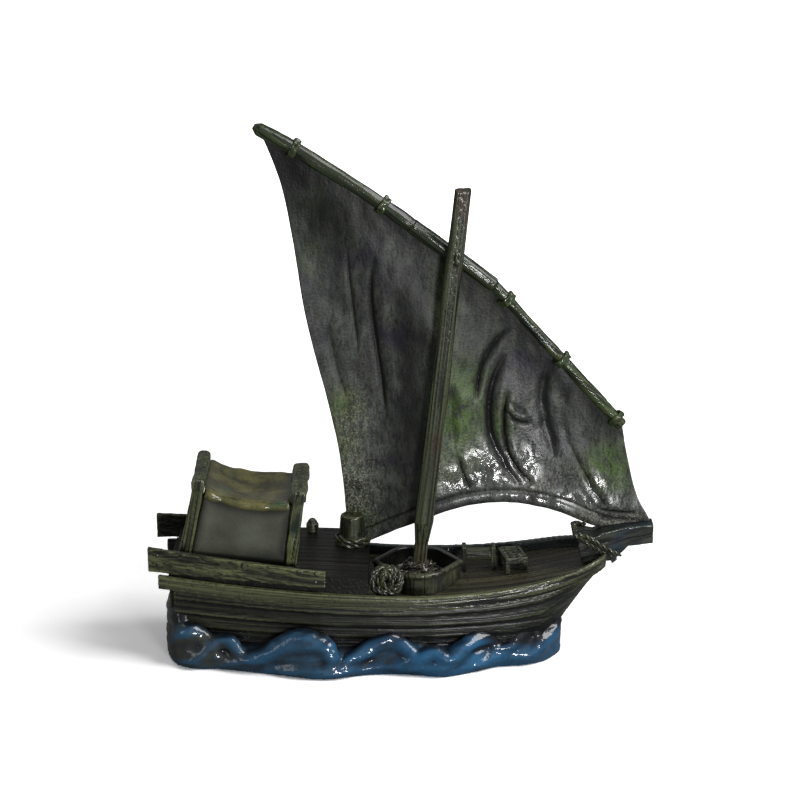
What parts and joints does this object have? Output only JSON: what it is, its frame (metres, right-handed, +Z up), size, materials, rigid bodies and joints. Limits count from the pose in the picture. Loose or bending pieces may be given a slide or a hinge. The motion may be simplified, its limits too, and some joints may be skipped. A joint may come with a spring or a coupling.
{
  "type": "sailing junk figurine",
  "caption": "Cast-resin figurine of a small single-masted junk with a lateen sail and a stern cabin, set fast in a base of painted waves.",
  "frame": {"origin": "middle of the outline on the shelf, under the boat's centre line", "axes": "+X to the bow, +Y to port, +Z up"},
  "size_m": [0.236, 0.087, 0.2511],
  "materials": {
    "waves": "gloss varnish over blue",
    "hull": "dark olive with lighter dry-brushed grain, varnished",
    "rails": "dark olive with yellowish worn edges, varnished",
    "deck": "rusty brown, varnished",
    "cabin": "moss green wood grain, varnished",
    "cabin_panel": "grey olive, varnished",
    "roof": "yellowish olive, varnished",
    "mast": "olive brown wood grain, varnished",
    "yard": "moss green, varnished",
    "rope": "straw olive rope, varnished",
    "sail": "dark grey green with moss patches, varnished",
    "fittings": "bronze green, varnished"
  },
  "bodies": {
    "root": {"wave_base": "waves", "hull_planking": "hull", "stem_post": "hull", "rail_starboard": "rails", "rail_port": "rails", "main_deck": "deck", "aft_deck": "deck", "bulwark_starboard": "rails", "bulwark_port": "rails", "transom_board": "hull", "bow_head": "rails", "cabin_post_aft_starboard": "cabin", "cabin_post_aft_port": "cabin", "cabin_post_fore_starboard": "cabin", "cabin_post_fore_port": "cabin", "cabin_wall_starboard": "cabin_panel", "cabin_wall_port": "cabin_panel", "cabin_wall_aft": "cabin_panel", "cabin_wall_fore": "cabin_panel", "cabin_log_aft": "cabin", "cabin_log_fore": "cabin", "cabin_roof": "roof", "cabin_hem_starboard": "roof", "cabin_hem_port": "roof", "mast": "mast", "mast_tub": "rails", "mast_step": "fittings", "net_heap": "rope", "yard_upper": "yard", "yard_sleeve": "yard", "yard_lower": "yard", "yard_lashings": "rope", "bollard": "fittings", "bollard_rope": "rope", "sail_foot_hem": "sail", "sail": "sail", "bow_rope": "rope", "mooring_bitt": "fittings", "rope_coil": "rope", "deck_crate": "fittings", "windlass_barrel": "fittings", "windlass_cheeks": "fittings", "mast_eye": "fittings"}
  },
  "joints": []
}
